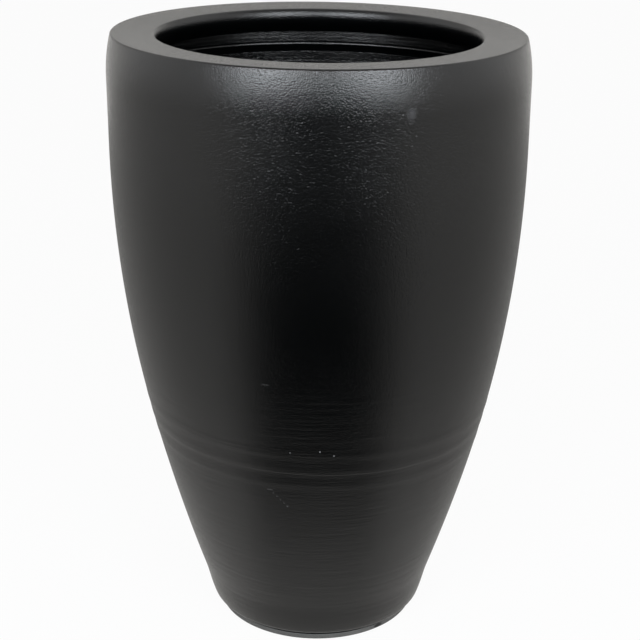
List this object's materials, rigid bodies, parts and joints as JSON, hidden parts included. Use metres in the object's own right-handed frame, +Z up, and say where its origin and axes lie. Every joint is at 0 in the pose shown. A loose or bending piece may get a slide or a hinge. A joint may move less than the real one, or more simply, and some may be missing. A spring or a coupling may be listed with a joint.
{
  "type": "floor vase",
  "caption": "Tall round floor vase in satin black stoneware with a swelling body, a wide flat rim turned in over the mouth, and a turned foot ring on felt pads.",
  "frame": {"origin": "on the ground under the centre of the foot", "axes": "+Z up along the vase's axis, -Y towards the picture's camera"},
  "size_m": [0.4014, 0.4014, 0.6],
  "materials": {
    "satin_glaze": "satin black glaze with a fine orange-peel grain",
    "foot_glaze": "satin glaze worn thin to dark grey",
    "slip": "fired black slip",
    "felt": "pressed dark grey felt"
  },
  "bodies": {
    "root": {"rim_ring": "satin_glaze", "rim_seam": "slip", "upper_section": "satin_glaze", "middle_seam": "slip", "lower_section": "satin_glaze", "foot_seam": "slip", "foot_ring": "foot_glaze", "floor_pad_1": "felt", "floor_pad_2": "felt", "floor_pad_3": "felt", "floor_pad_4": "felt"}
  },
  "joints": []
}
